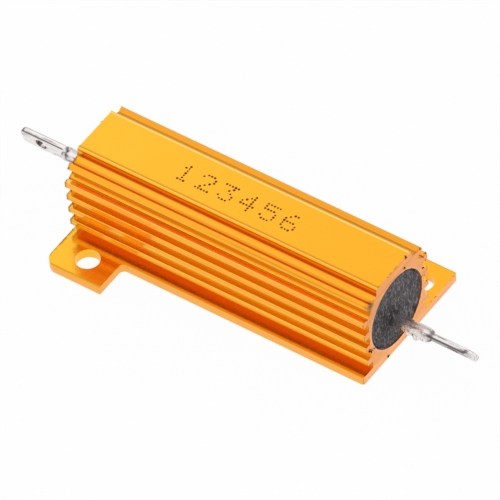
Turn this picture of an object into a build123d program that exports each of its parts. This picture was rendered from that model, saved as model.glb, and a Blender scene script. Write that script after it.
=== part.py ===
from build123d import *

import math
import os

# Aluminium housed wirewound resistor of the 50 W chassis-mounting size.
# Frame: X along the housing, Y across it, Z up. The origin is the middle of the
# mounting face. All sizes are in millimetres, angles in degrees.

# --- Housing: one anodised extrusion, sawn to length, its flanges sheared to two tabs
housing_length = 50.0
base_width = 28.2  # across the two fixing tabs
flange_thickness = 1.6
flange_edge_radius = 0.3
flange_recess_depth = 0.25  # the side is set back this far between the flange and the lowest fin

bore_radius = 5.8
floor_wall = 1.7  # metal under the bore
side_wall = 0.75  # metal beside the bore, at the foot of the side grooves
shoulder_wall = 1.75  # metal over the bore, between the pad and the top fin
pad_wall = 2.1  # metal over the bore, under the flat top pad
bore_chamfer = 0.25

pad_width = 8.3
bead_radius = 0.3  # raised bead along each edge of the pad
bead_height = 0.1

fin_count = 4  # on each side
fin_pitch = 2.6
fin_thickness = 1.1
fin_depth = 0.9  # of the lowest fin
fin_spread = 0.08  # each fin reaches this much further out than the one below it
fin_tip_radius = 0.15
lowest_fin_top = 3.99
top_fin_web_width = 1.58  # sloping web between the shoulder and the flat top of the top fin
top_fin_web_angle = 25.0
top_fin_relief_width = 0.24  # groove at the foot of that web
top_fin_relief_depth = 0.25

pad_side_draft = 0.2  # the pad's side stands out this much further at its foot
ledge_drop = 1.18  # from the pad down to the ledge beside it
ledge_angle = 15.0
rib_angle = 33.0  # of the shoulder rib, above horizontal
rib_length = 2.5
rib_thickness = 1.02
rib_tip_radius = 0.15
rib_tip_from_pad = 2.34  # across, from the edge of the pad
rib_tip_drop = 1.48  # from the pad down to the middle of the rib's tip

# --- Flange trimming and fixing holes, on opposite corners
tab_length = 9.5
lip_width = 2.17  # of flange left standing out from the side wall between the tabs
lip_corner_radius = 0.5
notch_corner_radius = 0.8
shear_roll_radius = 0.25  # rolled-over edge that shearing leaves along the underside
# Each tab was sheared and punched on its own, so the two differ a little.
left_tab_corner_radius = 1.9
left_hole_from_end = 5.05
left_hole_from_side = 3.5
right_tab_corner_radius = 0.5
right_hole_from_end = 3.2
right_hole_from_side = 4.0
hole_radius = 1.8

# --- Wound element: ceramic rod, two pressed-on caps and a flat resistance wire
core_radius = 3.25
core_inset = 5.4  # of each end of the core from the end of the housing
cap_wall = 0.4
cap_skirt_length = 4.2
wire_width = 0.9
wire_thickness = 0.2
wire_turns = 6
wire_clearance = 0.02  # between the turns and the ceramic
winding_clearance = 0.05  # between the turns and the moulding

# --- Moulding that fills the bore round the element
moulding_recess = 0.35  # below the sawn ends of the housing

# --- Leads: round pins welded to the caps, their outer ends flattened and pierced
pin_radius = 1.0
pin_shoulder_radius = 0.6
pin_length = 11.05  # from the cap to the shoulder
lug_length = 7.0  # from the shoulder to the tip
lug_width = 2.9
lug_thickness = 0.9
lug_corner_radius = 1.0
lug_edge_radius = 0.25
eye_radius = 0.9
eye_from_tip = 3.45
element_offset = 0.05  # the element sits slightly to the left in the bore
# Each lead was welded on and turned by hand, so the two sit and lean differently.
left_lead_drop = 0.2  # below the bore axis
left_lead_twist = 11.0
right_lead_drop = 1.85
right_lead_offset = 0.3  # towards -Y
right_lead_twist = 29.0

# --- Worked out from the sizes above
bore_height = floor_wall + bore_radius
pad_top = bore_height + bore_radius + pad_wall
side_half_width = bore_radius + side_wall
shoulder_radius = bore_radius + shoulder_wall
fin_root_y = bore_radius - side_wall  # fins start inside the metal round the bore
top_fin_top = lowest_fin_top + (fin_count - 1) * fin_pitch
lip_half_width = side_half_width + lip_width
core_length = housing_length - 2 * core_inset
cap_radius = core_radius + cap_wall
cap_face_x = core_length / 2 + cap_wall  # outer face of each cap, from the middle
rim_x = cap_face_x - cap_skirt_length  # inner rim of each cap
winding_radius = core_radius + wire_clearance + wire_thickness / 2
element_x = -element_offset
# Each tab: sign of its corner's X and Y, corner radius, hole from its end and side.
tabs = {
    "left": (-1, left_tab_corner_radius, left_hole_from_end, left_hole_from_side),
    "right": (1, right_tab_corner_radius, right_hole_from_end, right_hole_from_side),
}
# Each lead: sign of its end's X, Y and Z off the bore axis, twist.
leads = {
    "left": (-1, 0.0, -left_lead_drop, left_lead_twist),
    "right": (1, -right_lead_offset, -right_lead_drop, right_lead_twist),
}


def bar(low_y: float, high_y: float, low_z: float, high_z: float) -> Sketch:
    """Rectangle in the housing's cross-section, given by its edges."""
    middle = Pos((low_y + high_y) / 2, (low_z + high_z) / 2)
    return middle * Rectangle(high_y - low_y, high_z - low_z)


def rounded_end(tongue: Sketch, radius: float) -> Sketch:
    """Round the two corners at the far (+Y) end of a fin drawn along Y."""
    ends = tongue.vertices().sort_by(Axis.X)[-2:]
    return fillet(ends, radius)


def side_fins() -> Sketch:
    """The level fins of one side, evenly spaced from the lowest, each a little longer."""
    fins = Sketch()
    for row in range(fin_count):
        top = lowest_fin_top + row * fin_pitch
        reach = side_half_width + fin_depth + row * fin_spread - fin_root_y
        fins += Pos(fin_root_y, 0) * rounded_end(bar(0, reach, top - fin_thickness, top), fin_tip_radius)
    return fins


def top_fin_web() -> Sketch:
    """Sloping metal that carries the shoulder down to the top fin."""
    foot_y = fin_root_y + top_fin_web_width
    head_z = top_fin_top + top_fin_web_width * math.tan(math.radians(top_fin_web_angle))
    below = top_fin_top - fin_thickness / 2
    corners = [(foot_y, top_fin_top), (fin_root_y, head_z), (fin_root_y, below), (foot_y, below)]
    return make_face(Polyline(*corners, close=True).edges())


def shoulder_rib() -> Sketch:
    """The rib that stands up and out from the shoulder."""
    tongue = bar(-rib_length, 0, -rib_thickness / 2, rib_thickness / 2)
    tip = Pos(pad_width / 2 + rib_tip_from_pad, pad_top - rib_tip_drop)
    return tip * Rot(0, 0, rib_angle) * rounded_end(tongue, rib_tip_radius)


def ledge() -> Sketch:
    """Leaning side of the pad and the sloping ledge from its foot to the shoulder rib."""
    head = (pad_width / 2, pad_top - bead_radius)
    foot = (head[0] + pad_side_draft, pad_top - ledge_drop)
    end_y = foot[0] + rib_tip_from_pad / 2
    end_z = foot[1] - (end_y - foot[0]) * math.tan(math.radians(ledge_angle))
    corners = [(0, head[1]), head, foot, (end_y, end_z), (end_y, end_z - rib_thickness), (0, bore_height)]
    return make_face(Polyline(*corners, close=True).edges())


def edge_bead() -> Sketch:
    """Low bead along one edge of the top pad."""
    return Pos(pad_width / 2 - bead_radius, pad_top + bead_height - bead_radius) * Circle(bead_radius)


def half_section() -> Sketch:
    """Cross-section of the extrusion on the +Y side of its middle, with no bore."""
    floor = bar(0, side_half_width, 0, bore_height)
    barrel = Pos(0, bore_height) * Circle(shoulder_radius)
    barrel &= bar(0, side_half_width, 0, bore_height + shoulder_radius)
    pad = bar(0, pad_width / 2, bore_height, pad_top)
    pad = fillet(pad.vertices().group_by(Axis.Y)[-1].sort_by(Axis.X)[-1:], bead_radius)
    flange = bar(0, base_width / 2, 0, flange_thickness)
    flange = rounded_end(flange, flange_edge_radius)
    half = floor + barrel + pad + edge_bead() + flange
    half += side_fins() + top_fin_web() + shoulder_rib() + ledge()
    relief_y = fin_root_y + top_fin_web_width
    relief_z = top_fin_top - top_fin_relief_depth
    half -= bar(relief_y, relief_y + top_fin_relief_width, relief_z, top_fin_top)
    recess_y = side_half_width - flange_recess_depth
    half -= bar(recess_y, side_half_width, flange_thickness, lowest_fin_top - fin_thickness)
    return half


def housing_section() -> Sketch:
    """Whole cross-section: both halves, less the bore."""
    half = half_section()
    return half + mirror(half, Plane.YZ) - Pos(0, bore_height) * Circle(bore_radius)


def corner(plan: Sketch, x: float, y: float) -> Vertex:
    """The corner of a plan that is nearest to this point."""
    return plan.vertices().sort_by_distance((x, y, 0))[0]


def trimmed_outline() -> Part:
    """Prism of the housing's plan once its flanges are sheared to opposite corner tabs."""
    end_x = housing_length / 2
    cut_x = end_x - tab_length
    side_y = base_width / 2
    corners = [
        (-end_x, -side_y),
        (-cut_x, -side_y),
        (-cut_x, -lip_half_width),
        (end_x, -lip_half_width),
    ]
    corners += [(-x, -y) for x, y in corners]
    plan = make_face(Polyline(*corners, close=True).edges())
    for end, radius, _, _ in tabs.values():
        plan = fillet(corner(plan, end * end_x, end * side_y), radius)
        plan = fillet(corner(plan, end * cut_x, end * lip_half_width), notch_corner_radius)
        plan = fillet(corner(plan, end * end_x, -end * lip_half_width), lip_corner_radius)
    prism = extrude(plan, pad_top + bead_height)
    lips = prism.faces().sort_by(Axis.Z)[0].edges().filter_by(Axis.X)
    lips = [edge for edge in lips if math.isclose(abs(edge.center().Y), lip_half_width)]
    return fillet(lips, shear_roll_radius)


def housing() -> Part:
    """Finned aluminium housing with its two fixing tabs."""
    blank = extrude(Plane.YZ.offset(-housing_length / 2) * housing_section(), housing_length)
    blank &= trimmed_outline()
    for end, _, from_end, from_side in tabs.values():
        hole_x = end * (housing_length / 2 - from_end)
        hole_y = end * (base_width / 2 - from_side)
        blank -= Pos(hole_x, hole_y, flange_thickness / 2) * Cylinder(hole_radius, 2 * flange_thickness)
        mouth = Pos(end * (housing_length - bore_chamfer) / 2, 0, bore_height) * Rot(0, end * 90, 0)
        blank -= mouth * Cone(bore_radius, bore_radius + bore_chamfer, bore_chamfer)
    return blank


def along_x(radius: float, start: float, stop: float, y: float = 0.0, z: float = 0.0) -> Part:
    """Round bar along X between two stations, placed off the bore axis by y and z."""
    middle = Pos((start + stop) / 2, y, bore_height + z)
    return middle * Rot(0, 90, 0) * Cylinder(radius, stop - start)


def ceramic_core() -> Part:
    """Ceramic rod that carries the winding."""
    return along_x(core_radius, element_x - core_length / 2, element_x + core_length / 2)


def end_cap(end: int) -> Part:
    """Drawn metal cap, pressed on one end of the core."""
    rim, face = sorted((element_x + end * rim_x, element_x + end * cap_face_x))
    return along_x(cap_radius, rim, face) - ceramic_core()


def resistance_wire() -> Part:
    """Single layer of flat wire, wound between the rims of the two caps."""
    wound_length = 2 * rim_x - wire_width
    path = Helix(pitch=wound_length / wire_turns, height=wound_length, radius=winding_radius)
    strip = Plane(origin=path @ 0, x_dir=(1, 0, 0), z_dir=path % 0) * Rectangle(wire_thickness, wire_width)
    coil = sweep(strip, path=path, is_frenet=True)
    return Pos(element_x - wound_length / 2, 0, bore_height) * Rot(0, 90, 0) * coil


def terminal(end: int, y: float, z: float, twist: float) -> Part:
    """Lead at one end: a round pin welded to its cap, with a flattened, pierced tip."""
    shoulder_x = pin_length
    tip_x = shoulder_x + lug_length
    pin = Pos(pin_length / 2, 0, 0) * Rot(0, 90, 0) * Cylinder(pin_radius, pin_length)
    pin = fillet(pin.edges().sort_by(Axis.X)[-1:], pin_shoulder_radius)
    root_x = shoulder_x - pin_radius
    blade = Pos((root_x + tip_x) / 2, 0) * Rectangle(tip_x - root_x, lug_width)
    blade = fillet(blade.vertices().sort_by(Axis.X)[-2:], lug_corner_radius)
    lug = extrude(blade, lug_thickness / 2, both=True)
    lug = fillet(lug.faces().sort_by(Axis.X)[1:].edges().filter_by(Plane.XY), lug_edge_radius)
    eye = Pos(tip_x - eye_from_tip, 0, 0) * Cylinder(eye_radius, 2 * lug_thickness)
    lead = pin + lug - eye
    if end < 0:
        lead = Rot(0, 0, 180) * lead
    return Pos(element_x + end * cap_face_x, y, bore_height + z) * Rot(90 + twist, 0, 0) * lead


def moulding() -> Part:
    """Filling that holds the element in the bore, just below the sawn ends."""
    end_x = housing_length / 2 - moulding_recess
    body = along_x(bore_radius, -end_x, end_x)
    wound_radius = winding_radius + wire_thickness / 2 + winding_clearance
    body -= along_x(wound_radius, element_x - rim_x, element_x + rim_x)
    for end, y, z, _ in leads.values():
        rim, face = sorted((element_x + end * rim_x, element_x + end * cap_face_x))
        body -= along_x(cap_radius, rim, face)
        inner, outer = sorted((element_x + end * cap_face_x, end * end_x))
        body -= along_x(pin_radius, inner, outer, y, z)
    return body


def build() -> dict[str, Part]:
    """Every separate piece of the resistor, by name."""
    pieces = {
        "housing": housing(),
        "moulding": moulding(),
        "ceramic_core": ceramic_core(),
        "resistance_wire": resistance_wire(),
    }
    for side, (end, y, z, twist) in leads.items():
        pieces[f"end_cap_{side}"] = end_cap(end)
        pieces[f"terminal_{side}"] = terminal(end, y, z, twist)
    return pieces


os.makedirs("parts", exist_ok=True)
for name, piece in build().items():
    export_step(piece, f"parts/{name}.step")
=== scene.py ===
"""Finishes, marking, burrs and solder of an aluminium housed resistor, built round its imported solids."""

import logging
import math
from dataclasses import dataclass
from enum import Enum

import bmesh
import bpy
from mathutils import Matrix, Vector, noise


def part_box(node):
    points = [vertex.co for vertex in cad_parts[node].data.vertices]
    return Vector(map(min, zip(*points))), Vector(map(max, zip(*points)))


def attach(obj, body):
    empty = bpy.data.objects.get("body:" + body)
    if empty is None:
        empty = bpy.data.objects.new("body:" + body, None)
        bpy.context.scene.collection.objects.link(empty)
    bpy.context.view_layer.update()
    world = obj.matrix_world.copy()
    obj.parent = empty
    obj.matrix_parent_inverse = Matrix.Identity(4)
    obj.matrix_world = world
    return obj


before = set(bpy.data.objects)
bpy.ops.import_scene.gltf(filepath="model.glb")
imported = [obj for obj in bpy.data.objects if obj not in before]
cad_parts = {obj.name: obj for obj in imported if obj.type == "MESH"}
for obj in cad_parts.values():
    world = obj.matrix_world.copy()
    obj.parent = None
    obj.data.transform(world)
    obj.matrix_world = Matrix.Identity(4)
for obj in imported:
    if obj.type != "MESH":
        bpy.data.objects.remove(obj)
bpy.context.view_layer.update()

LOG = logging.getLogger("resistor")
MM = 0.001
BODY = "root"
WHITE = (1.0, 1.0, 1.0, 1.0)
# Corners closer than this are one corner.
WELD_MM = 0.001
# noise_vector draws by the clock unless it is seeded; 0 would be the clock again.
NOISE_SEED = 1

Tree = bpy.types.NodeTree
Socket = bpy.types.NodeSocket
Piece = bpy.types.Object
Material = bpy.types.Material
Limits = tuple[float, float]
Triple = tuple[float, float, float]
# An axis, and where along it in mm a mask is 0 and where it is 1.
Bound = tuple[str, float, float]
Corners = list[tuple[int, ...]]
Links = dict[str | int, object]
Look = dict[str, Socket | float | tuple[float, ...]]


def linear(code: str) -> tuple[float, float, float, float]:
    """Turn an sRGB hex colour to linear light.

    Args:
        code: Six hex digits after a hash sign.

    Returns:
        Red, green, blue and an alpha of 1.
    """
    channels = [int(code[i : i + 2], 16) / 255 for i in (1, 3, 5)]
    red, green, blue = (c / 12.92 if c <= 0.04045 else ((c + 0.055) / 1.055) ** 2.4 for c in channels)
    return red, green, blue, 1.0


def cycles(size_mm: float) -> float:
    """Pattern repeats in a metre, for a real size in millimetres."""
    return 1000 / size_mm


def add_node(tree: Tree, kind: str, links: Links | None = None, **settings: object) -> bpy.types.Node:
    """Add one node with its settings and links.

    Args:
        tree: The shader or geometry tree.
        kind: The node's type name.
        links: Input name or number, with the socket that feeds it or its plain value.
        settings: Properties of the node itself.

    Returns:
        The new node.
    """
    node = tree.nodes.new(kind)
    for name, value in settings.items():
        setattr(node, name, value)
    for name, value in (links or {}).items():
        if isinstance(value, Socket):
            tree.links.new(value, node.inputs[name])
        else:
            node.inputs[name].default_value = value
    return node


class End(Enum):
    """The two ends of the part, by the sign of X."""

    LEFT = -1
    RIGHT = 1


@dataclass
class Pattern:
    """Shader nodes that several finishes share, all on the part's own coordinates."""

    tree: Tree

    def __post_init__(self) -> None:
        """Add the coordinates and the surface normal, split into their axes."""
        self.place: Socket = add_node(self.tree, "ShaderNodeTexCoord").outputs["Object"]
        self.at = add_node(self.tree, "ShaderNodeSeparateXYZ", {0: self.place}).outputs
        normal = add_node(self.tree, "ShaderNodeNewGeometry").outputs["Normal"]
        self.facing = add_node(self.tree, "ShaderNodeSeparateXYZ", {0: normal}).outputs

    def calc(self, operation: str, first: Socket | float, second: Socket | float = 0.0) -> Socket:
        """One step of arithmetic, such as MULTIPLY or ABSOLUTE."""
        links = {0: first, 1: second}
        return add_node(self.tree, "ShaderNodeMath", links, operation=operation).outputs[0]

    def away(self, y_mm: float, z_mm: float) -> Socket:
        """Distance, seen along the part, from a line that runs its whole length."""
        across = add_node(self.tree, "ShaderNodeCombineXYZ", {"Y": self.at["Y"], "Z": self.at["Z"]})
        return self.distance((0.0, y_mm, z_mm), across.outputs[0])

    def distance(self, place_mm: Triple, start: Socket | None = None) -> Socket:
        """Distance from one point of the part."""
        links = {0: start or self.place, 1: tuple(value * MM for value in place_mm)}
        return add_node(self.tree, "ShaderNodeVectorMath", links, operation="DISTANCE").outputs["Value"]

    def both(self, *masks: Socket | float) -> Socket:
        """Product of masks: 1 only where all of them are."""
        whole = masks[0]
        for mask in masks[1:]:
            whole = self.calc("MULTIPLY", whole, mask)
        return whole

    def either(self, first: Socket, second: Socket) -> Socket:
        """Larger of two masks: 1 where one of them is."""
        return self.calc("MAXIMUM", first, second)

    def outside(self, mask: Socket) -> Socket:
        """Opposite of a mask."""
        return self.calc("SUBTRACT", 1.0, mask)

    def step(self, value: Socket, low: float, high: float) -> Socket:
        """Smooth rise from 0 to 1 between two values; falls where low is above high.

        Args:
            value: What is measured.
            low: Where the result is 0.
            high: Where the result is 1.

        Returns:
            The mask.
        """
        start, stop = (1.0, 0.0) if low > high else (0.0, 1.0)
        links = {"Value": value, "From Min": min(low, high), "From Max": max(low, high)}
        links |= {"To Min": start, "To Max": stop}
        return add_node(self.tree, "ShaderNodeMapRange", links, interpolation_type="SMOOTHSTEP").outputs[0]

    def step_mm(self, value: Socket, low_mm: float, high_mm: float) -> Socket:
        """The same between two lengths in millimetres."""
        return self.step(value, low_mm * MM, high_mm * MM)

    def zone(self, *bounds: Bound) -> Socket:
        """Soft-edged part of space, inside all of its bounds."""
        return self.both(*(self.step_mm(self.at[axis], low, high) for axis, low, high in bounds))

    def grain(self, sizes_mm: Triple, detail: float = 3.0, turn: float = 0.0, warp: float = 0.0) -> Socket:
        """Noise with its own grain length along each axis.

        Args:
            sizes_mm: Grain length along X, Y and Z.
            detail: Octaves of finer noise.
            turn: Angle about X in degrees.
            warp: How far the grain curls, in grains.

        Returns:
            The noise, about 0 to 1.
        """
        scale = tuple(cycles(size) for size in sizes_mm)
        links = {"Vector": self.place, "Scale": scale, "Rotation": (math.radians(turn), 0, 0)}
        mapped = add_node(self.tree, "ShaderNodeMapping", links).outputs[0]
        links = {"Vector": mapped, "Scale": 1.0, "Detail": detail, "Roughness": 0.55, "Distortion": warp}
        return add_node(self.tree, "ShaderNodeTexNoise", links).outputs["Fac"]

    def blend(self, mask: Socket, under: Socket | str, over: Socket | str, share: float = 1.0) -> Socket:
        """Colour that turns from one to the other with a mask.

        Args:
            mask: 0 for the first colour, 1 for the second.
            under: First colour, as a socket or sRGB hex.
            over: Second colour.
            share: Most of the second colour that is mixed in.

        Returns:
            The mixed colour.
        """
        mask = mask if share == 1.0 else self.both(mask, share)
        node = add_node(self.tree, "ShaderNodeMix", data_type="RGBA")
        for name, value in (("Factor", mask), ("A", under), ("B", over)):
            wanted = "VALUE" if name == "Factor" else "RGBA"
            socket = next(s for s in node.inputs if s.name == name and s.type == wanted)
            if isinstance(value, str):
                socket.default_value = linear(value)
            else:
                self.tree.links.new(value, socket)
        return next(s for s in node.outputs if s.type == "RGBA")

    def between(self, mask: Socket, under: Socket | float, over: Socket | float) -> Socket:
        """Number that turns from one to the other with a mask."""
        # Inputs 2 and 3 of a Mix node are its plain numbers.
        return add_node(self.tree, "ShaderNodeMix", {"Factor": mask, 2: under, 3: over}).outputs[0]

    def spread(self, value: Socket, low: float, high: float) -> Socket:
        """Map noise of 0 to 1 on the range from low to high."""
        links = {"Value": value, "To Min": low, "To Max": high}
        return add_node(self.tree, "ShaderNodeMapRange", links).outputs[0]

    def relief(self, height: Socket, depth_mm: float, under: Socket | None = None) -> Socket:
        """Bump of a real depth, on top of another one if given.

        Args:
            height: The pattern, 0 to 1.
            depth_mm: Depth of the pattern.
            under: Normal of the bump below it.

        Returns:
            The bumped normal.
        """
        links = {"Height": height, "Distance": depth_mm * MM, "Strength": 1.0}
        if under is not None:
            links["Normal"] = under
        return add_node(self.tree, "ShaderNodeBump", links).outputs[0]


@dataclass(frozen=True)
class Finish:
    """One surface finish, drawn by one material."""

    name: str

    def material(self) -> Material:
        """Build the finish's material.

        Returns:
            The material, with its shader set.
        """
        material = bpy.data.materials.new(self.name)
        material.use_nodes = True
        tree = material.node_tree
        shader = tree.nodes["Principled BSDF"].inputs
        for name, value in self.look(Pattern(tree)).items():
            if isinstance(value, Socket):
                tree.links.new(value, shader[name])
            else:
                shader[name].default_value = value
        return material

    def look(self, draw: Pattern) -> Look:
        """Work out the inputs of the Principled shader.

        Args:
            draw: Pattern nodes on the part's coordinates.

        Returns:
            Inputs by name, each a socket or a constant.
        """
        raise NotImplementedError


@dataclass(frozen=True)
class ShadeLine:
    """A line along the extrusion where shade is painted in dark."""

    y_mm: float
    z_mm: float
    reach_mm: float
    share: float


@dataclass(frozen=True)
class GoldAnodising(Finish):
    """Extruded aluminium, etched satin, anodised and dyed gold.

    The dyed oxide tints every reflection, so light that bounces between two fins comes out deep
    orange. Painted shade darkens the inside corners in lines, and painted light makes the grooves
    lighter. The beads are paler from handling wear and a painted highlight, and the upper fin's crown
    carries a painted highlight. The sawn ends and sheared edges are rougher and paler, with a painted
    highlight on the rim round the bore. The skin is dark brown on the near fins at the left end and
    along the edges of the right end, with one spot of painted shade at the end of the notch.
    """

    name: str = "anodised_aluminium_gold"
    dye: str = "#FEBF38"
    dye_deep: str = "#FFAD2B"
    dye_fin: str = "#FEAD33"
    groove_light: str = "#F8BE45"
    # Dark orange: the painted shade in the corners, and dye left in the deepest die lines.
    painted_shade_and_dye: str = "#B96408"
    # Pale colour for the beads' wear and painted highlight, and for the painted highlight on the crown.
    worn: str = "#FFD477"
    sawn: str = "#FFBE7C"
    sawn_deep: str = "#FFA760"
    sheared: str = "#FFB652"
    rim_highlight: str = "#FFC9AE"
    smut_and_shade_brown: str = "#8A3C0A"
    painted_shade: str = "#4A2418"

    # Painted shade lines. Near side: ledge, rib, under the rib, pad side, foot of the bead. Then the far
    # rib and the tab's rim.
    shade_lines: tuple[ShadeLine, ...] = (
        ShadeLine(-4.33, 14.45, 0.42, 0.7),
        ShadeLine(-5.5, 13.95, 0.5, 0.4),
        ShadeLine(-5.85, 12.35, 0.55, 0.8),
        ShadeLine(-4.15, 15.18, 0.17, 0.7),
        ShadeLine(-3.6, 15.4, 0.25, 0.35),
        ShadeLine(6.3, 13.4, 1.6, 0.32),
        ShadeLine(-13.9, 1.55, 0.2, 0.5),
    )

    # Parts of the housing.
    length: Bound = ("X", -25.0, 25.0)
    flange: Bound = ("Z", 1.62, 1.6)
    below_pad: Bound = ("Z", 15.2, 15.0)
    grooves: tuple[Bound, ...] = (("Z", 11.7, 11.6), ("Y", -7.65, -7.35))
    channel: tuple[Bound, ...] = (("Y", -8.95, -8.65), ("Y", 0.1, -0.1))
    crown: tuple[Bound, ...] = (("Z", 11.7, 11.75), ("Z", 11.95, 11.85), ("Y", -6.6, -6.9))
    beads: Bound = ("Z", 15.43, 15.46)
    pad: Bound = ("Y", -2.0, 2.0)
    near_fins: Bound = ("Y", -4.2, -4.8)
    far_edge: Bound = ("X", 24.75, 25.0)
    end_mm: Limits = (24.9, 24.95)
    holes_mm: tuple[Triple, ...] = ((-19.95, -10.6, 0.8), (21.8, 10.1, 0.8))
    hole_mm: Limits = (2.08, 2.1)
    bore_z_mm: float = 7.5
    bore_wall_mm: Limits = (6.1, 6.05)
    rim_mm: Limits = (6.6, 5.95)
    ragged_mm: float = 0.8
    tips_mm: Limits = (-24.15, -24.7)
    notch_shade_mm: Triple = (24.9, -5.8, 13.6)
    notch_shade_reach_mm: Limits = (1.5, 0.5)

    def dyed(self, draw: Pattern, flange: Socket, lines: Socket, cloud: Socket) -> Socket:
        """Colour the dyed skin, with its painted shade, painted light and painted highlights.

        Args:
            draw: Pattern nodes on the part's coordinates.
            flange: Mask of the base flange.
            lines: Noise of the die lines.
            cloud: Broad noise of the dye.

        Returns:
            The colour.
        """
        along = draw.both(draw.zone(self.length), 0.7)
        tone = draw.calc("ADD", along, draw.both(cloud, 0.3))
        colour = draw.blend(tone, self.dye, self.dye_deep)
        fins = draw.both(draw.zone(self.below_pad), draw.outside(flange))
        colour = draw.blend(fins, colour, self.dye_fin, share=0.8)
        # Painted light: the bottoms of the grooves and of the channel along the flange are painted lighter,
        # for light bounced into them.
        groove = draw.both(fins, draw.zone(*self.grooves))
        channel = draw.both(flange, draw.zone(*self.channel))
        colour = draw.blend(draw.either(groove, channel), colour, self.groove_light)
        # Painted highlight: the crown of the upper fin is painted pale.
        colour = draw.blend(draw.zone(*self.crown), colour, self.worn, share=0.6)
        # Dye stays in the deepest die lines.
        deepest = draw.both(draw.step(lines, 0.56, 0.68), fins)
        colour = draw.blend(deepest, colour, self.painted_shade_and_dye, share=0.38)
        # Painted shade: dark lines along the inside corners.
        for shaded_corner in self.shade_lines:
            off = draw.away(shaded_corner.y_mm, shaded_corner.z_mm)
            near = draw.step_mm(off, shaded_corner.reach_mm, 0.3 * shaded_corner.reach_mm)
            colour = draw.blend(near, colour, self.painted_shade_and_dye, share=shaded_corner.share)
        # The beads are painted pale, most on the far one: handling wear and a painted highlight.
        wear_and_highlight = draw.spread(draw.zone(self.pad), 0.25, 0.95)
        return draw.blend(draw.both(draw.zone(self.beads), wear_and_highlight), colour, self.worn)

    def smut_and_shade(self, draw: Pattern, skin: Socket) -> Socket:
        """Mask the dark brown on the near fins at the left end, along the edges of the right end, and one
        spot of painted shade.

        Args:
            draw: Pattern nodes on the part's coordinates.
            skin: Mask of all but the sawn ends.

        Returns:
            The mask.
        """
        # Smut comes and goes along an edge every millimetre or so.
        ragged = draw.grain((1.1, 0.8, 0.8), detail=2.0)
        shift = draw.both(ragged, self.ragged_mm * MM)
        tips = draw.step_mm(draw.calc("ADD", draw.at["X"], shift), *self.tips_mm)
        tips = draw.both(tips, skin, draw.zone(self.near_fins), 0.8)
        far = draw.both(draw.zone(self.far_edge), skin, draw.step(ragged, 0.45, 0.6), 0.6)
        # Painted shade: one dark spot at the right end, where the notch under the rib ends in shade.
        off = draw.calc("ADD", draw.distance(self.notch_shade_mm), shift)
        notch_shade = draw.both(draw.step_mm(off, *self.notch_shade_reach_mm), 0.8)
        return draw.either(draw.either(tips, far), notch_shade)

    def look(self, draw: Pattern) -> Look:
        """See Finish.look."""
        sideways = draw.calc("ABSOLUTE", draw.facing["X"])
        end = draw.step_mm(draw.calc("ABSOLUTE", draw.at["X"]), *self.end_mm)
        end = draw.both(draw.step(sideways, 0.6, 0.85), end)
        flange = draw.zone(self.flange)
        upright = draw.calc("ABSOLUTE", draw.facing["Z"])
        edge = draw.both(flange, draw.step(upright, 0.75, 0.45))
        # A punch burnishes the wall of its hole, so that it takes the dye as the skin does.
        for place in self.holes_mm:
            edge = draw.both(edge, draw.step_mm(draw.distance(place), *self.hole_mm))

        # Die lines run the whole length of an extrusion, about 0.2 mm apart.
        lines = draw.grain((60.0, 0.22, 0.22), detail=4.0)
        # Caustic etch leaves a grain finer than shows; it is drawn at 0.25 mm.
        etch = draw.grain((0.25, 0.25, 0.25), detail=2.0)
        # The dye bath takes a little unevenly, over some 10 mm; the colour also turns deeper orange towards
        # the +X end.
        cloud = draw.grain((14.0, 9.0, 9.0), detail=2.0)
        # A saw blade leaves long shallow scores about 0.3 mm apart on the ends.
        scores = draw.grain((0.3, 6.0, 0.3), detail=3.0, turn=18.0)

        colour = draw.blend(edge, self.dyed(draw, flange, lines, cloud), self.sheared)
        # Painted highlight: patches of the rim round the bore are painted paler, for its lit rounded edge.
        radius = draw.away(0.0, self.bore_z_mm)
        rim_highlight = draw.both(draw.step_mm(radius, *self.rim_mm), draw.step(cloud, 0.35, 0.6))
        sawn = draw.blend(draw.step(scores, 0.4, 0.75), self.sawn, self.sawn_deep)
        colour = draw.blend(end, colour, draw.blend(rim_highlight, sawn, self.rim_highlight))
        # Painted shade: the wall of the bore that shows between the sawn end and the recessed cement is
        # painted dark.
        bore = draw.both(draw.step_mm(radius, *self.bore_wall_mm), draw.step(sideways, 0.97, 0.9))
        colour = draw.blend(bore, colour, self.painted_shade, share=0.92)
        smut_and_shade = self.smut_and_shade(draw, draw.outside(end))

        # A sheared edge is smeared smoother than a sawn one.
        rough = draw.between(edge, draw.spread(scores, 0.5, 0.7), 0.4)
        cut = draw.either(end, edge)
        relief = draw.relief(lines, depth_mm=0.006)
        relief = draw.relief(etch, depth_mm=0.004, under=relief)
        return {
            "Metallic": 1.0,
            "Base Color": draw.blend(smut_and_shade, colour, self.smut_and_shade_brown),
            "Roughness": draw.between(cut, draw.spread(lines, 0.12, 0.26), rough),
            "Normal": draw.relief(draw.both(scores, cut), depth_mm=0.05, under=relief),
        }


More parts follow.
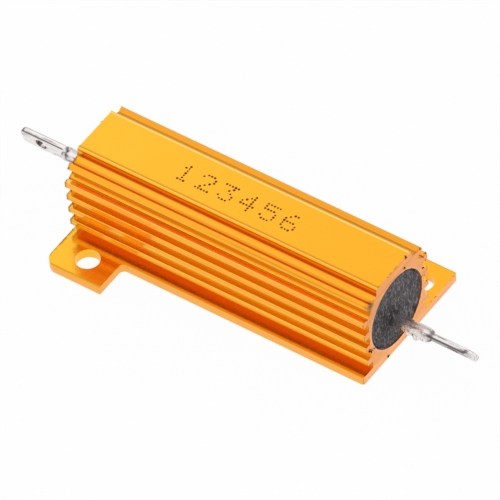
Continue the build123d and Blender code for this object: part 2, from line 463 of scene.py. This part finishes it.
@dataclass(frozen=True)
class PottingCompound(Finish):
    """Silicone cement cast in the bore and trowelled off: matt, dark grey and gritty."""

    name: str = "silicone_cement"
    paste: str = "#585153"
    crater_shade: str = "#251E1F"
    grit: str = "#B3A9AB"
    pit_shade: str = "#161315"
    painted_shade_mm: Limits = (-2.3, 7.2)
    painted_shade_reach_mm: Limits = (4.6, 1.0)
    pores_mm: tuple[Limits, ...] = ((-3.2, 5.2), (-3.6, 4.3), (-4.1, 3.6))
    pore_reach_mm: Limits = (0.5, 0.25)

    def look(self, draw: Pattern) -> Look:
        """See Finish.look."""
        # Ground quartz filler: grit of about 0.1 mm, drawn at three times that so that it shows.
        grit = draw.grain((0.3, 0.3, 0.3), detail=4.0)
        # The trowel leaves short curved drags, a few tenths of a millimetre wide.
        drags = draw.grain((0.5, 0.42, 1.0), detail=3.0, turn=30.0, warp=1.2)
        patch = draw.grain((3.0, 2.0, 2.0), detail=2.0)
        # Painted shade: a dark blotchy patch on one side of the lead stands in for the shade of the hollow
        # round it.
        painted_shade = draw.step_mm(draw.away(*self.painted_shade_mm), *self.painted_shade_reach_mm)
        base = draw.blend(draw.both(painted_shade, draw.step(patch, 0.2, 0.5)), self.paste, self.crater_shade)
        specks = draw.both(draw.step(grit, 0.6, 0.7), 0.5)
        # Grit specks are lighter in colour; the crests of the drags are painted lighter, as painted light.
        light = draw.either(specks, draw.step(drags, 0.52, 0.64))
        toned = draw.blend(light, base, self.grit, share=0.5)
        # Painted shade: the furrows between the drags and three burst air bubbles are painted dark.
        holes = draw.step(drags, 0.48, 0.4)
        for place in self.pores_mm:
            holes = draw.either(holes, draw.step_mm(draw.away(*place), *self.pore_reach_mm))
        relief = draw.relief(drags, depth_mm=0.2)
        return {
            "Base Color": draw.blend(holes, toned, self.pit_shade, share=0.85),
            "Roughness": draw.spread(grit, 0.9, 0.45),
            "Normal": draw.relief(grit, depth_mm=0.1, under=relief),
        }


@dataclass(frozen=True)
class HotTinning(Finish):
    """Hot-dipped tin on a metal lead: bright, with drag streaks along it, and painted shade on the blades.
    """

    name: str = "hot_dipped_tin"
    tin: str = "#ECE8E7"
    dull: str = "#8F8482"
    arris_shade: str = "#6E6563"
    underside_shade: str = "#6C5A54"
    hollow_shade: str = "#4A4142"
    left_blade: Bound = ("X", -30.3, -31.0)
    right_blade: tuple[Bound, ...] = (("X", 30.4, 31.0), ("X", 37.0, 36.6))
    arris_mm: Limits = (-1.35, 6.6)
    arris_reach_mm: Limits = (0.36, 0.216)
    # Middle and reach along X of each mark of painted shade.
    marks_mm: tuple[Limits, ...] = ((-30.3, 0.7), (31.2, 0.7), (36.9, 0.5))

    def look(self, draw: Pattern) -> Look:
        """See Finish.look."""
        # Molten tin runs along the lead as it is pulled out of the bath.
        streaks = draw.grain((4.0, 0.3, 0.3), detail=4.0)
        blotch = draw.grain((1.6, 0.8, 0.8), detail=3.0)
        dull = draw.both(draw.step(streaks, 0.48, 0.62), draw.step(blotch, 0.38, 0.6))
        colour = draw.blend(dull, self.tin, self.dull)
        # Painted shade along the two arrises of the upper edge of one blade.
        rise = draw.facing["Z"]
        crest = draw.both(draw.step(rise, 0.1, 0.4), draw.step(rise, 0.95, 0.85))
        crest = draw.both(crest, draw.zone(self.left_blade))
        colour = draw.blend(crest, colour, self.arris_shade, share=0.9)
        # Painted shade on the other blade: its downward faces and one arris are painted dark.
        arris = draw.step_mm(draw.away(*self.arris_mm), *self.arris_reach_mm)
        below = draw.either(draw.step(rise, 0.3, -0.2), arris)
        underside_shade = draw.both(below, draw.zone(*self.right_blade), 0.95)
        colour = draw.blend(underside_shade, colour, self.underside_shade)
        # Painted shade in the hollows where the blades are pressed flat, and at the right blade's sheared
        # tip.
        for middle, reach in self.marks_mm:
            off = draw.calc("ABSOLUTE", draw.calc("SUBTRACT", draw.at["X"], middle * MM))
            mark = draw.step_mm(off, reach, 0.2 * reach)
            mark = draw.both(mark, draw.step(blotch, 0.42, 0.56))
            colour = draw.blend(mark, colour, self.hollow_shade, share=0.75)
        relief = draw.relief(streaks, depth_mm=0.03)
        return {
            # The painted shade is drawn matt, not metal.
            "Metallic": draw.outside(underside_shade),
            "Base Color": colour,
            "Roughness": draw.spread(streaks, 0.12, 0.38),
            "Normal": draw.relief(blotch, depth_mm=0.08, under=relief),
        }


@dataclass(frozen=True)
class BurntOxide(Finish):
    """Anodising that the marking tool has burnt and raised: dark brown and matt."""

    name: str = "burnt_oxide"
    char: str = "#552A08"
    edge: str = "#965210"

    def look(self, draw: Pattern) -> Look:
        """See Finish.look."""
        # Each dot is about 0.4 mm across, and its scorch varies from one dot to the next.
        scorch = draw.grain((0.35, 0.35, 0.35), detail=1.0)
        return {
            "Base Color": draw.blend(draw.step(scorch, 0.4, 0.75), self.char, self.edge),
            "Roughness": draw.spread(scorch, 0.75, 0.95),
            "Specular IOR Level": 0.15,
        }


@dataclass(frozen=True)
class TornMetal(Finish):
    """Saw swarf and torn burrs, dulled by the etch and dye baths."""

    name: str = "torn_aluminium"
    swarf: str = "#7A5230"
    dark: str = "#2C1C14"

    def look(self, draw: Pattern) -> Look:
        """See Finish.look."""
        # A torn chip is creased every 0.1 mm or so, drawn at 0.3 mm so that it shows.
        crease = draw.grain((0.3, 0.3, 0.3), detail=3.0)
        return {
            "Metallic": 1.0,
            "Base Color": draw.blend(draw.step(crease, 0.35, 0.6), self.dark, self.swarf),
            "Roughness": draw.spread(crease, 0.35, 0.7),
            "Normal": draw.relief(crease, depth_mm=0.04),
        }


@dataclass(frozen=True)
class FiredCeramic(Finish):
    """Fired alumina rod: off-white, matt, with a faint ground grain."""

    name: str = "fired_alumina"
    body: str = "#E8E4DA"
    speck: str = "#CFC8B8"

    def look(self, draw: Pattern) -> Look:
        """See Finish.look."""
        # Sintered grains are far finer than shows; they are drawn at 0.4 mm.
        grain = draw.grain((0.4, 0.4, 0.4))
        return {
            "Base Color": draw.blend(grain, self.body, self.speck),
            "Roughness": draw.spread(grain, 0.5, 0.75),
            "Normal": draw.relief(grain, depth_mm=0.01),
        }


@dataclass(frozen=True)
class DrawnMetal(Finish):
    """Drawn or rolled metal with fine marks of the die along or round it."""

    bright: str = "#B4B0AA"
    worn: str = "#8C8882"
    mark_mm: Triple = (3.0, 0.15, 0.15)

    def look(self, draw: Pattern) -> Look:
        """See Finish.look."""
        marks = draw.grain(self.mark_mm)
        return {
            "Metallic": 1.0,
            "Base Color": draw.blend(marks, self.bright, self.worn),
            "Roughness": draw.spread(marks, 0.2, 0.45),
            "Normal": draw.relief(marks, depth_mm=0.006),
        }


@dataclass(frozen=True)
class StudioPaper(Finish):
    """Seamless white paper under the part: white to the eye, with a faint shadow."""

    name: str = "studio_paper"
    paper: str = "#F4F4F4"
    lift: float = 0.96

    def look(self, draw: Pattern) -> Look:
        """See Finish.look."""
        # Rays that reach the eye, straight or in gloss, see the paper lifted to white.
        path = add_node(draw.tree, "ShaderNodeLightPath").outputs
        indirect = draw.either(path["Is Glossy Ray"], path["Is Transmission Ray"])
        share = draw.both(draw.either(path["Is Camera Ray"], indirect), self.lift)
        nodes = draw.tree.nodes
        white = add_node(draw.tree, "ShaderNodeEmission", {"Color": WHITE, "Strength": 1.0}).outputs[0]
        links = {0: share, 1: nodes["Principled BSDF"].outputs[0], 2: white}
        mixed = add_node(draw.tree, "ShaderNodeMixShader", links).outputs[0]
        draw.tree.links.new(mixed, nodes["Material Output"].inputs["Surface"])
        return {"Base Color": linear(self.paper), "Roughness": 1.0, "Specular IOR Level": 0.0}


def mesh_piece(
    name: str, points: list[Vector], faces: Corners, edges: Corners | None = None, smooth: bool = True
) -> Piece:
    """Make an object from points and faces, in metres.

    Args:
        name: The piece's name.
        points: Its vertices, in the part's frame.
        faces: Corner numbers of each face.
        edges: Corner numbers of each edge that belongs to no face.
        smooth: Whether its faces shade smoothly.

    Returns:
        The object, in the scene.
    """
    mesh = bpy.data.meshes.new(name)
    mesh.from_pydata(points, edges or [], faces)
    for face in mesh.polygons:
        face.use_smooth = smooth
    mesh.update()
    piece = bpy.data.objects.new(name, mesh)
    bpy.context.scene.collection.objects.link(piece)
    return piece


def tube_faces(rings: int, around: int) -> Corners:
    """Quads of a tube of rings that runs along X, with its two ends closed.

    Args:
        rings: Number of rings.
        around: Points in each ring, in the turn from Y to Z.

    Returns:
        The faces, facing outward.
    """
    faces = []
    for low in range(0, (rings - 1) * around, around):
        high = low + around
        for step in range(around):
            after = (step + 1) % around
            faces.append((low + step, low + after, high + after, high + step))
    faces.append(tuple(reversed(range(around))))
    faces.append(tuple(range((rings - 1) * around, rings * around)))
    return faces


def settle(piece: Piece, finish: Material | None = None) -> None:
    """Give a new piece its material where it carries none, and make it ride on the part.

    Args:
        piece: The piece.
        finish: Its material, where it carries none yet.
    """
    if finish is not None:
        piece.data.materials.append(finish)
    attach(piece, BODY)
    LOG.info("%s: %d faces", piece.name, len(piece.data.polygons))


def recoat(node: str, material: Material) -> None:
    """Put a material on a CAD node in place of its plain one.

    Args:
        node: The node's name.
        material: Its new material.
    """
    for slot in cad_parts[node].material_slots:
        slot.material = material
    LOG.info("%s: %s", node, material.name)


@dataclass
class NodeTool:
    """A Geometry Nodes tree that turns one object into a plain mesh of realized instances."""

    name: str
    sizes: dict[str, float | int]

    def __post_init__(self) -> None:
        """Open the tree and name its inputs."""
        self.tree: Tree = bpy.data.node_groups.new(self.name, "GeometryNodeTree")
        face = self.tree.interface
        face.new_socket("Geometry", in_out="INPUT", socket_type="NodeSocketGeometry")
        for name, value in self.sizes.items():
            kind = "NodeSocketInt" if isinstance(value, int) else "NodeSocketFloat"
            face.new_socket(name, in_out="INPUT", socket_type=kind)
        face.new_socket("Material", in_out="INPUT", socket_type="NodeSocketMaterial")
        face.new_socket("Geometry", in_out="OUTPUT", socket_type="NodeSocketGeometry")
        self.inputs = add_node(self.tree, "NodeGroupInput").outputs

    def add(self, kind: str, links: Links, output: int | str = 0, **settings: object) -> Socket:
        """Add one node to the tree, as add_node does, for the sake of one of its outputs."""
        return add_node(self.tree, kind, links, **settings).outputs[output]

    def finish(self, instances: Socket) -> None:
        """End the tree: realize the instances, set their material and put them out.

        Args:
            instances: The geometry to end with.
        """
        real = self.add("GeometryNodeRealizeInstances", {"Geometry": instances})
        links = {"Geometry": real, "Material": self.inputs["Material"]}
        add_node(self.tree, "NodeGroupOutput", {"Geometry": self.add("GeometryNodeSetMaterial", links)})

    def scatter(self, points: Socket, shape: Socket, **links: Socket) -> Socket:
        """Instance a shape on points, each at its own scale.

        Args:
            points: Geometry whose points carry the shapes.
            shape: The shape to repeat.
            links: More inputs of the node, such as Rotation.

        Returns:
            The instances.
        """
        seed = self.inputs["Seed"]
        limits = {2: self.inputs["Smallest"], 3: self.inputs["Largest"], "Seed": seed}
        scale = self.add("FunctionNodeRandomValue", limits, output=1, data_type="FLOAT")
        links |= {"Points": points, "Instance": shape, "Scale": scale}
        return self.add("GeometryNodeInstanceOnPoints", links)

    def apply(self, source: Piece, name: str, material: Material) -> Piece:
        """Run the tree on an object and keep the result as a plain mesh.

        Args:
            source: Object that carries the points; it is removed.
            name: Name of the result.
            material: Material for the tree's input.

        Returns:
            The new object.
        """
        modifier = source.modifiers.new(self.name, "NODES")
        modifier.node_group = self.tree
        values = {**self.sizes, "Material": material}
        for item in self.tree.interface.items_tree:
            if item.in_out == "INPUT" and item.name in values:
                modifier[item.identifier] = values[item.name]
        graph = bpy.context.evaluated_depsgraph_get()
        mesh = bpy.data.meshes.new_from_object(source.evaluated_get(graph))
        mesh.name = name
        source.modifiers.remove(modifier)
        bpy.data.objects.remove(source)
        piece = bpy.data.objects.new(name, mesh)
        bpy.context.scene.collection.objects.link(piece)
        return piece


@dataclass
class Housing:
    """The anodised extrusion: its finish, its dotted marking and the burrs of its sawn ends."""

    node: str = "housing"
    slot: str = "gold_anodised_aluminium"

    # The bead along the pad stands this much above the face that carries the marking.
    bead_height_mm: float = 0.1
    digits: str = "123456"
    digit_pitch_mm: float = 3.5
    dot_pitch_mm: Limits = (0.49, 0.45)
    text_start_mm: Limits = (-10.5, -1.5)
    dot_radius_mm: float = 0.185
    dot_height_mm: float = 0.02
    dot_scale: Limits = (0.8, 1.15)
    dot_taper: float = 0.6
    dot_corners: int = 10
    dot_shake_mm: float = 0.05
    dot_seed: int = 7

    burr_spacing_mm: float = 0.25
    burr_share: float = 0.09
    burr_mm: Limits = (0.03, 0.1)
    burr_seed: int = 3
    # The ends' lowest edges rest on the ground, where no burr hangs.
    burr_floor_mm: float = 0.3

    chip_mm: Limits = (0.08, 0.22)
    chip_shake_mm: float = 0.45
    chip_seed: int = 11
    # Y, Z and number of slivers of each clump of swarf on the right end.
    chips_mm: tuple[tuple[float, float, int], ...] = (
        (-6.8, 5.5, 6), (-6.4, 5.0, 5), (-5.8, 4.9, 2), (-2.9, 0.5, 2), (2.45, 13.7, 3),
        (2.9, 15.3, 3), (6.5, 9.7, 3), (6.4, 8.3, 2), (6.2, 14.0, 3), (7.1, 12.0, 2),
    )
    # Half lengths of a burr or sliver along its three axes, for a size of 1.
    sliver_shape: Triple = (1.6, 0.7, 0.5)

    # Seven rows of five dots each, from the top; each row's dots are the bits of one number.
    DOT_COLUMNS = 5
    DOTS = {
        "1": (0x04, 0x0C, 0x04, 0x04, 0x04, 0x04, 0x0E),
        "2": (0x0E, 0x11, 0x01, 0x02, 0x04, 0x08, 0x1F),
        "3": (0x1F, 0x02, 0x04, 0x02, 0x01, 0x11, 0x0E),
        "4": (0x02, 0x06, 0x0A, 0x12, 0x1F, 0x02, 0x02),
        "5": (0x1F, 0x10, 0x1E, 0x01, 0x01, 0x11, 0x0E),
        "6": (0x06, 0x08, 0x10, 0x1E, 0x11, 0x11, 0x0E),
    }

    def __post_init__(self) -> None:
        """Build the finish that the burrs and clumps share."""
        self.torn = TornMetal().material()

    def dress(self) -> None:
        """Give the extrusion its gold anodising."""
        recoat(self.node, GoldAnodising().material())

    def dots(self) -> list[Vector]:
        """Place the dots of the digits, each a little off its grid.

        Returns:
            Their feet on the pad, in metres.
        """
        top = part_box(self.node)[1].z - self.bead_height_mm * MM
        points = []
        for place, digit in enumerate(self.digits):
            left = self.text_start_mm[0] + place * self.digit_pitch_mm
            rows = self.DOTS[digit]
            for row, bits in enumerate(rows):
                for column in range(self.DOT_COLUMNS):
                    if bits >> (self.DOT_COLUMNS - 1 - column) & 1:
                        x = left + column * self.dot_pitch_mm[0]
                        y = self.text_start_mm[1] + (len(rows) - 1 - row) * self.dot_pitch_mm[1]
                        shake = noise.noise_vector(Vector((x, y, place))) * self.dot_shake_mm
                        points.append(Vector(((x + shake.x) * MM, (y + shake.y) * MM, top)))
        return points

    def marking(self) -> None:
        """Mark plain digits on the top pad, dot by dot."""
        low, high = self.dot_scale
        sizes = {"Radius": self.dot_radius_mm * MM, "Height": self.dot_height_mm * MM}
        tool = NodeTool("dot_marker", {**sizes, "Smallest": low, "Largest": high, "Seed": self.dot_seed})
        foot = tool.inputs["Radius"]
        crest = tool.add("ShaderNodeMath", {0: foot, 1: self.dot_taper}, operation="MULTIPLY")
        links = {"Radius Top": crest, "Radius Bottom": foot, "Depth": tool.inputs["Height"]}
        links["Vertices"] = self.dot_corners
        dot = tool.add("GeometryNodeMeshCone", links, output="Mesh")
        tool.finish(tool.scatter(tool.inputs["Geometry"], dot))
        spots = mesh_piece("marking_points", self.dots(), [])
        settle(tool.apply(spots, "dotted_digits", BurntOxide().material()))

    def sawn_outline(self) -> tuple[list[Vector], Corners]:
        """Find the edges round both sawn ends, apart from those that rest on the ground.

        Returns:
            Their corners, and pairs of corner numbers.
        """
        end_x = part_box(self.node)[1].x
        model = bmesh.new()
        model.from_mesh(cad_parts[self.node].data)
        bmesh.ops.remove_doubles(model, verts=model.verts, dist=WELD_MM * MM)
        model.normal_update()
        points, numbers, edges = [], {}, []
        for edge in model.edges:
            at_end = all(abs(abs(corner.co.x) - end_x) < WELD_MM * MM for corner in edge.verts)
            clear = all(corner.co.z > self.burr_floor_mm * MM for corner in edge.verts)
            if not (at_end and clear):
                continue
            # An edge of the outline has the sawn end on one side of it only.
            if sum(abs(face.normal.x) > 0.99 for face in edge.link_faces) != 1:
                continue
            for corner in edge.verts:
                if corner.index not in numbers:
                    numbers[corner.index] = len(points)
                    points.append(corner.co.copy())
            edges.append(tuple(numbers[corner.index] for corner in edge.verts))
        model.free()
        return points, edges

    def slivers(self, tool: NodeTool, points: Socket, **links: Socket) -> None:
        """End a tree with torn slivers of metal on points, each with its own turn and scale.

        Args:
            tool: The tree.
            points: Geometry whose points carry the slivers.
            links: More inputs of the node that places them.
        """
        ball = tool.add("GeometryNodeMeshIcoSphere", {"Radius": 1.0, "Subdivisions": 1}, output="Mesh")
        shape = tool.add("GeometryNodeTransform", {"Geometry": ball, "Scale": self.sliver_shape})
        turns = {1: (math.tau,) * 3, "Seed": tool.inputs["Seed"]}
        turn = tool.add("FunctionNodeRandomValue", turns, data_type="FLOAT_VECTOR")
        tool.finish(tool.scatter(points, shape, Rotation=turn, **links))

    def burrs(self) -> None:
        """Leave small burrs along the edges of both sawn ends."""
        low, high = self.burr_mm
        sizes = {"Spacing": self.burr_spacing_mm * MM, "Share": self.burr_share}
        sizes |= {"Smallest": low * MM, "Largest": high * MM, "Seed": self.burr_seed}
        tool = NodeTool("edge_burrs", sizes)
        curve = tool.add("GeometryNodeMeshToCurve", {"Mesh": tool.inputs["Geometry"]})
        links = {"Curve": curve, "Length": tool.inputs["Spacing"]}
        spaced = tool.add("GeometryNodeResampleCurve", links, mode="LENGTH")
        links = {"Probability": tool.inputs["Share"], "Seed": tool.inputs["Seed"]}
        chosen = tool.add("FunctionNodeRandomValue", links, output=3, data_type="BOOLEAN")
        self.slivers(tool, spaced, Selection=chosen)
        points, edges = self.sawn_outline()
        outline = mesh_piece("sawn_edges", points, [], edges)
        settle(tool.apply(outline, "end_burrs", self.torn))

    def chips(self) -> None:
        """Leave clumps of torn swarf where the saw came out of the metal."""
        end_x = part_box(self.node)[1].x
        points = []
        for y_mm, z_mm, count in self.chips_mm:
            for number in range(count):
                place = Vector((y_mm, z_mm, 5.3 * number + 0.7))
                shake = noise.noise_vector(place) * self.chip_shake_mm
                points.append(Vector((end_x, (y_mm + shake.x) * MM, (z_mm + shake.y) * MM)))
        low, high = self.chip_mm
        sizes = {"Smallest": low * MM, "Largest": high * MM, "Seed": self.chip_seed}
        tool = NodeTool("swarf_clumps", sizes)
        self.slivers(tool, tool.inputs["Geometry"])
        spots = mesh_piece("chip_points", points, [])
        settle(tool.apply(spots, "swarf_clumps", self.torn))


@dataclass
class CementFace:
    """The trowelled surface of the cement at one end of the bore."""

    end: End
    # Y and Z of the lead that it surrounds.
    pin_mm: Limits
    slot: str = "cement_moulding"
    axis_mm: float = 7.5
    radius_mm: float = 5.78
    base_mm: float = 24.66
    buried_mm: float = 24.5
    proud_mm: float = 24.98
    rings: int = 26
    around: int = 72

    # The cement creeps up the wall of the bore and up the lead.
    skim_mm: float = 0.07
    wall_climb_mm: float = 0.14
    wall_reach_mm: float = 0.3
    pin_climb_mm: float = 0.26
    pin_reach_mm: float = 0.5
    pin_radius_mm: float = 1.0

    # Drags run across the trowel's stroke; dimples have no direction.
    stroke: Limits = (0.9, 0.42)
    drags_per_mm: Limits = (2.1, 0.8)
    drag_depth_mm: float = 0.075
    dimples_per_mm: float = 1.3
    dimple_depth_mm: float = 0.05

    def height(self, y_mm: float, z_mm: float) -> float:
        """Work out how far the surface stands out at one point.

        Args:
            y_mm: The point's Y.
            z_mm: The point's Z.

        Returns:
            Its distance from the part's middle, in millimetres.
        """
        out = math.hypot(y_mm, z_mm - self.axis_mm)
        wall = self.wall_climb_mm * math.exp((out - self.radius_mm) / self.wall_reach_mm)
        clear = max(0.0, math.hypot(y_mm - self.pin_mm[0], z_mm - self.pin_mm[1]) - self.pin_radius_mm)
        collar = self.pin_climb_mm * math.exp(-clear / self.pin_reach_mm)
        side = self.end.value
        run, rise = self.stroke
        turned = Vector((y_mm * run + z_mm * rise, z_mm * run - y_mm * rise, side))
        place = Vector((turned.x * self.drags_per_mm[0], turned.y * self.drags_per_mm[1], turned.z))
        drag = self.drag_depth_mm * noise.fractal(place, 1.0, 2.0, 3)
        place = Vector((y_mm * self.dimples_per_mm, z_mm * self.dimples_per_mm, 4.0 * side))
        dimple = self.dimple_depth_mm * noise.noise(place)
        level = self.base_mm + self.skim_mm + wall + collar + drag + dimple
        return max(self.base_mm, min(level, self.proud_mm))

    def build(self, cement: Material) -> None:
        """Build the surface with its back in the cement.

        Args:
            cement: The cement's material.
        """
        places = [(0.0, 0.0)]
        for ring in range(1, self.rings + 1):
            radius = self.radius_mm * ring / self.rings
            places += [(radius, math.tau * step / self.around) for step in range(self.around)]
        side = self.end.value
        points = []
        for radius, angle in places:
            y_mm, z_mm = radius * math.cos(angle), self.axis_mm + radius * math.sin(angle)
            points.append(Vector((side * self.height(y_mm, z_mm), y_mm, z_mm)) * MM)
        outer = 1 + (self.rings - 1) * self.around
        back = len(points)
        points += [Vector((side * self.buried_mm * MM, point.y, point.z)) for point in points[outer:]]
        faces = []
        for step in range(self.around):
            after = (step + 1) % self.around
            faces.append((0, 1 + step, 1 + after))
            for ring in range(self.rings - 1):
                low, high = 1 + ring * self.around, 1 + (ring + 1) * self.around
                faces.append((low + step, high + step, high + after, low + after))
            faces.append((outer + step, back + step, back + after, outer + after))
        faces.append(tuple(back + step for step in reversed(range(self.around))))
        if self.end is End.LEFT:
            faces = [tuple(reversed(face)) for face in faces]
        piece = mesh_piece(f"cement_face_{self.end.name.lower()}", points, faces)
        settle(piece, cement)


@dataclass
class TinLump:
    """Tin that set thick round a stretch of the right lead, as a lumpy sleeve."""

    name: str
    start_mm: float
    end_mm: float
    # Half its width and height, before its turn about X in degrees.
    half_mm: Limits
    turn: float
    # 1 for a round section, and nearer 0 the squarer.
    roundness: float
    # Most that the tin droops, towards one direction, and how long its lumps are.
    droop_mm: float
    droop_turn: float
    grain_mm: float
    slot: str = "tinned_metal"
    axis_mm: Limits = (-0.3, 5.65)
    skin_mm: float = 0.02
    rings: int = 48
    around: int = 36

    # Powers of the swell along the sleeve and of the droop round it.
    swell_power: float = 0.35
    droop_power: float = 1.4
    # Mean and swing of the lumps, and how far they twist round the lead.
    lump_mean: float = 0.55
    lump_swing: float = 1.3
    lump_twist: float = 0.8

    def build(self, tin: Material) -> None:
        """Build the sleeve, with both its ends inside the lead.

        Args:
            tin: The tinned metal's material.
        """
        turned = Matrix.Rotation(math.radians(self.turn), 2)
        drooped = math.radians(self.turn - self.droop_turn)
        points = []
        for ring in range(self.rings):
            share = ring / (self.rings - 1)
            x_mm = self.start_mm + share * (self.end_mm - self.start_mm)
            swell = math.sin(math.pi * share) ** self.swell_power
            for step in range(self.around):
                angle = math.tau * step / self.around
                across = Vector((math.cos(angle), math.sin(angle)))
                below = max(0.0, math.cos(angle + drooped)) ** self.droop_power
                place = Vector((x_mm, across.x * self.lump_twist, across.y * self.lump_twist))
                lump = max(0.0, self.lump_mean + self.lump_swing * noise.noise(place / self.grain_mm))
                extra = swell * (self.droop_mm * below * lump + self.skin_mm)
                square = Vector([math.copysign(abs(value) ** self.roundness, value) for value in across])
                out = turned @ Vector([value * (half + extra) for value, half in zip(square, self.half_mm)])
                points.append(Vector((x_mm, self.axis_mm[0] + out.x, self.axis_mm[1] + out.y)) * MM)
        settle(mesh_piece(self.name, points, tube_faces(self.rings, self.around)), tin)


@dataclass
class WoundElement:
    """What the bore holds: cement, core, wire, caps and the two tinned leads."""

    faces: tuple[CementFace, ...] = (
        CementFace(End.LEFT, pin_mm=(0.0, 7.3)),
        CementFace(End.RIGHT, pin_mm=(-0.3, 5.65)),
    )
    lumps: tuple[TinLump, ...] = (
        TinLump(
            "solder_run", 26.6, 30.5, half_mm=(0.93, 0.93), turn=0.0, roundness=1.0,
            droop_mm=0.42, droop_turn=-118.0, grain_mm=0.4,
        ),
        TinLump(
            "dipped_tip", 36.75, 37.92, half_mm=(0.45, 1.36), turn=29.0, roundness=0.45,
            droop_mm=0.1, droop_turn=-90.0, grain_mm=0.5,
        ),
    )

    def __post_init__(self) -> None:
        """Build the finishes that its pieces share with what is added to them."""
        self.cement = PottingCompound().material()
        self.tin = HotTinning().material()

    def dress(self) -> None:
        """Give each piece of the element its finish."""
        recoat("moulding", self.cement)
        recoat("terminal_left", self.tin)
        recoat("terminal_right", self.tin)
        recoat("ceramic_core", FiredCeramic().material())
        wire = DrawnMetal("drawn_nickel_chrome", bright="#7D756D", worn="#5F5850").material()
        recoat("resistance_wire", wire)
        caps = DrawnMetal("plated_steel", mark_mm=(0.15, 1.5, 1.5)).material()
        recoat("end_cap_left", caps)
        recoat("end_cap_right", caps)

    def build(self) -> None:
        """Add the trowelled faces of the cement and the lumps of tin."""
        for face in self.faces:
            face.build(self.cement)
        for lump in self.lumps:
            lump.build(self.tin)


def stand_off(
    rig: Piece, target: Vector, azimuth: float, elevation: float, distance: float
) -> None:
    """Stand a lamp or camera off a point, aim it there, and add it to the scene.

    Args:
        rig: The lamp's or camera's object.
        target: The point, in metres.
        azimuth: Its direction round Z in degrees, from -Y towards +X.
        elevation: Its height above the horizon in degrees.
        distance: How far off it stands, in metres.
    """
    turn, rise = math.radians(azimuth), math.radians(elevation)
    back = Vector((math.sin(turn) * math.cos(rise), -math.cos(turn) * math.cos(rise), math.sin(rise)))
    rig.location = target + back * distance
    rig.rotation_mode = "QUATERNION"
    rig.rotation_quaternion = (-back).to_track_quat("-Z", "Y")
    bpy.context.scene.collection.objects.link(rig)


@dataclass(frozen=True)
class SoftBox:
    """One broad soft lamp, by the direction that it shines from; lengths in metres, power in watts."""

    name: str
    azimuth: float
    elevation: float
    distance: float
    size: float
    power: float

    def hang(self, target: Vector) -> None:
        """Add the lamp, aimed at a point.

        Args:
            target: The point, in metres.
        """
        lamp = bpy.data.lights.new(self.name, "AREA")
        lamp.shape = "DISK"
        lamp.size = self.size
        lamp.energy = self.power
        rig = bpy.data.objects.new(self.name, lamp)
        stand_off(rig, target, self.azimuth, self.elevation, self.distance)


@dataclass
class Studio:
    """Camera, lamps, world and paper floor."""

    target_mm: Triple = (-1.346, 2.046, 2.3)
    distance_mm: float = 1407.25
    azimuth: float = 39.215
    elevation: float = 47.868
    roll: float = -5.7505
    focal_length_mm: float = 734.84
    sensor_mm: float = 36.0
    clip_m: Limits = (0.05, 20.0)
    world_strength: float = 0.68
    floor_drop_mm: float = 0.05
    floor_half_m: float = 4.0
    lamps: tuple[SoftBox, ...] = (
        SoftBox("overhead", azimuth=-90.0, elevation=65.0, distance=2.4, size=4.0, power=16.0),
        SoftBox("front", azimuth=-25.0, elevation=20.0, distance=1.8, size=1.5, power=1.8),
        SoftBox("end", azimuth=90.0, elevation=12.0, distance=1.8, size=1.5, power=1.2),
    )

    def __post_init__(self) -> None:
        """Turn the target to metres."""
        self.target = Vector(self.target_mm) * MM

    def camera(self) -> None:
        """Place the camera and make it the scene's."""
        lens = bpy.data.cameras.new("camera")
        lens.sensor_width = self.sensor_mm
        lens.lens = self.focal_length_mm
        lens.clip_start, lens.clip_end = self.clip_m
        camera = bpy.data.objects.new("camera", lens)
        stand_off(camera, self.target, self.azimuth, self.elevation, self.distance_mm * MM)
        camera.rotation_quaternion @= Matrix.Rotation(math.radians(self.roll), 3, "Z").to_quaternion()
        bpy.context.scene.camera = camera

    def world(self) -> None:
        """Fill the room with plain white light, seen as pure white."""
        world = bpy.data.worlds.new("studio")
        world.use_nodes = True
        tree = world.node_tree
        lit = tree.nodes["Background"]
        lit.inputs["Strength"].default_value = self.world_strength
        lit.inputs["Color"].default_value = WHITE
        white = add_node(tree, "ShaderNodeBackground", {"Color": WHITE, "Strength": 1.0})
        eye = add_node(tree, "ShaderNodeLightPath").outputs["Is Camera Ray"]
        mixed = add_node(tree, "ShaderNodeMixShader", {0: eye, 1: lit.outputs[0], 2: white.outputs[0]})
        tree.links.new(mixed.outputs[0], tree.nodes["World Output"].inputs["Surface"])
        bpy.context.scene.world = world

    def floor(self) -> None:
        """Lay the paper just under the part."""
        side, drop = self.floor_half_m, -self.floor_drop_mm * MM
        corners = [Vector((x * side, y * side, drop)) for x, y in ((-1, -1), (1, -1), (1, 1), (-1, 1))]
        paper = mesh_piece("paper", corners, [(0, 1, 2, 3)], smooth=False)
        paper.data.materials.append(StudioPaper().material())

    def build(self) -> None:
        """Set up the whole studio."""
        self.camera()
        self.world()
        self.floor()
        for lamp in self.lamps:
            lamp.hang(self.target)
        bpy.context.scene.view_settings.view_transform = "Standard"


def main() -> None:
    """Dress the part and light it."""
    logging.basicConfig(level=logging.INFO, format="%(name)s %(message)s")
    noise.seed_set(NOISE_SEED)
    Studio().build()
    housing = Housing()
    housing.dress()
    housing.marking()
    housing.burrs()
    housing.chips()
    element = WoundElement()
    element.dress()
    element.build()


if __name__ == "__main__":
    main()
